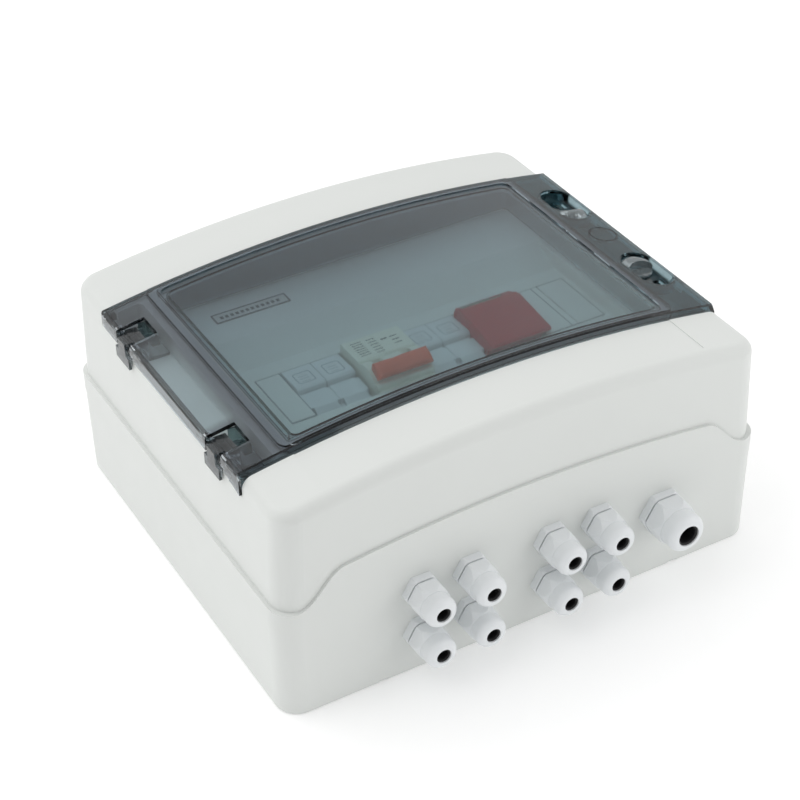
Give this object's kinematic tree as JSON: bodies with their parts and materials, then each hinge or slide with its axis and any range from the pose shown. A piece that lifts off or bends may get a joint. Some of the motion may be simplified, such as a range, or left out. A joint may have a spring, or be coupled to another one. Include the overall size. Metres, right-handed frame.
{
  "type": "dc combiner box",
  "caption": "Plastic wall enclosure with an arched lid, a hinged smoked clear door, cable glands on one side, and fuse holders, a breaker and a surge arrester on a rail inside.",
  "frame": {"origin": "middle of the flat back face of the base, where it meets the wall or bench", "axes": "+Z out of the wall towards the door, -Y towards the cable glands, +X towards the latch side"},
  "size_m": [0.3, 0.2865, 0.1453],
  "materials": {
    "door_seal_rubber": "matte grey",
    "box_plastic": "fine moulded satin",
    "seal_rubber": "matte",
    "gland_rubber": "matte",
    "gland_plastic": "smooth satin",
    "smoked_clear": "glossy smoked clear plastic",
    "smoked_clip": "glossy smoked plastic",
    "smoked_knob": "glossy smoked plastic",
    "dark_plastic": "matte",
    "steel": "brushed",
    "zinc_steel": "zinc plated",
    "screw_plastic": "matte",
    "label": "printed frame",
    "blanking_plastic": "satin",
    "brass": "drawn",
    "support_plastic": "matte",
    "fuse_plastic": "satin",
    "fuse_ceramic": "ceramic with plated caps",
    "breaker_plastic": "satin",
    "handle_plastic": "satin",
    "arrester_plastic": "satin",
    "window_plastic": "gloss"
  },
  "bodies": {
    "enclosure": {"enclosure_base": "box_plastic", "enclosure_lid": "box_plastic", "cover_plate": "box_plastic", "lid_gasket": "seal_rubber", "lid_screws": "screw_plastic", "hinge_pin_back": "steel", "hinge_pin_front": "steel", "hinge_clip_back": "smoked_clip", "hinge_clip_front": "smoked_clip", "label_plate": "label", "blanking_strip_left": "blanking_plastic", "blanking_strip_right": "blanking_plastic", "mounting_rail": "zinc_steel", "rail_brackets": "zinc_steel", "rail_screws": "zinc_steel", "bracket_screws": "zinc_steel", "fuse_base_1": "fuse_plastic", "fuse_base_2": "fuse_plastic", "fuse_base_3": "fuse_plastic", "fuse_base_4": "fuse_plastic", "breaker_body": "breaker_plastic", "arrester_base": "arrester_plastic", "terminal_screws": "zinc_steel", "bar_supports": "support_plastic", "earth_bar": "brass", "bar_screws": "zinc_steel", "gland_small_bodies": "gland_plastic", "gland_small_nuts": "gland_plastic", "gland_small_seals": "gland_rubber", "gland_small_lock_nuts": "gland_plastic", "gland_large_bodies": "gland_plastic", "gland_large_nuts": "gland_plastic", "gland_large_seals": "gland_rubber", "gland_large_lock_nuts": "gland_plastic"},
    "door": {"door": "smoked_clear", "door_gasket": "door_seal_rubber", "lock_knockout_disc": "smoked_clear"},
    "latch_back": {"latch_knob_back": "smoked_knob", "latch_cam_back": "dark_plastic", "latch_screw_back": "steel"},
    "latch_front": {"latch_knob_front": "smoked_knob", "latch_cam_front": "dark_plastic", "latch_screw_front": "steel"},
    "breaker_handle": {"breaker_handle": "handle_plastic"},
    "arrester_cartridge": {"arrester_cartridge": "arrester_plastic", "arrester_window": "window_plastic"},
    "fuse_carrier_1": {"fuse_carrier_1": "fuse_plastic", "fuse_link_1": "fuse_ceramic"},
    "fuse_carrier_2": {"fuse_carrier_2": "fuse_plastic", "fuse_link_2": "fuse_ceramic"},
    "fuse_carrier_3": {"fuse_carrier_3": "fuse_plastic", "fuse_link_3": "fuse_ceramic"},
    "fuse_carrier_4": {"fuse_carrier_4": "fuse_plastic", "fuse_link_4": "fuse_ceramic"}
  },
  "joints": [
    {"name": "door_hinge", "type": "hinge", "parent": "enclosure", "child": "door", "pos_m": [-0.1449, 0, 0.1256], "axis": [0, -1, 0], "range_deg": [0, 110]},
    {"name": "latch_back_turn", "type": "hinge", "parent": "door", "child": "latch_back", "pos_m": [0.133, 0.035, 0.13087], "axis": [-0.1618, 0, -0.9868], "range_deg": [0, 90]},
    {"name": "latch_front_turn", "type": "hinge", "parent": "door", "child": "latch_front", "pos_m": [0.133, -0.0306, 0.13087], "axis": [0.1618, 0, 0.9868], "range_deg": [0, 90]},
    {"name": "breaker_toggle", "type": "hinge", "parent": "enclosure", "child": "breaker_handle", "pos_m": [-0.0223, -0.024, 0.105], "axis": [-1, 0, 0], "range_deg": [0, 50]},
    {"name": "arrester_pull", "type": "slide", "parent": "enclosure", "child": "arrester_cartridge", "axis": [0, 0, 1], "range_m": [0, 0.018]},
    {"name": "fuse_swing_1", "type": "hinge", "parent": "enclosure", "child": "fuse_carrier_1", "pos_m": [-0.0686, -0.0345, 0.1025], "axis": [1, 0, 0], "range_deg": [0, 45]},
    {"name": "fuse_swing_2", "type": "hinge", "parent": "enclosure", "child": "fuse_carrier_2", "pos_m": [-0.0508, -0.0345, 0.1025], "axis": [1, 0, 0], "range_deg": [0, 45]},
    {"name": "fuse_swing_3", "type": "hinge", "parent": "enclosure", "child": "fuse_carrier_3", "pos_m": [0.0044, -0.0345, 0.1025], "axis": [1, 0, 0], "range_deg": [0, 45]},
    {"name": "fuse_swing_4", "type": "hinge", "parent": "enclosure", "child": "fuse_carrier_4", "pos_m": [0.0221, -0.0345, 0.1025], "axis": [1, 0, 0], "range_deg": [0, 45]}
  ]
}
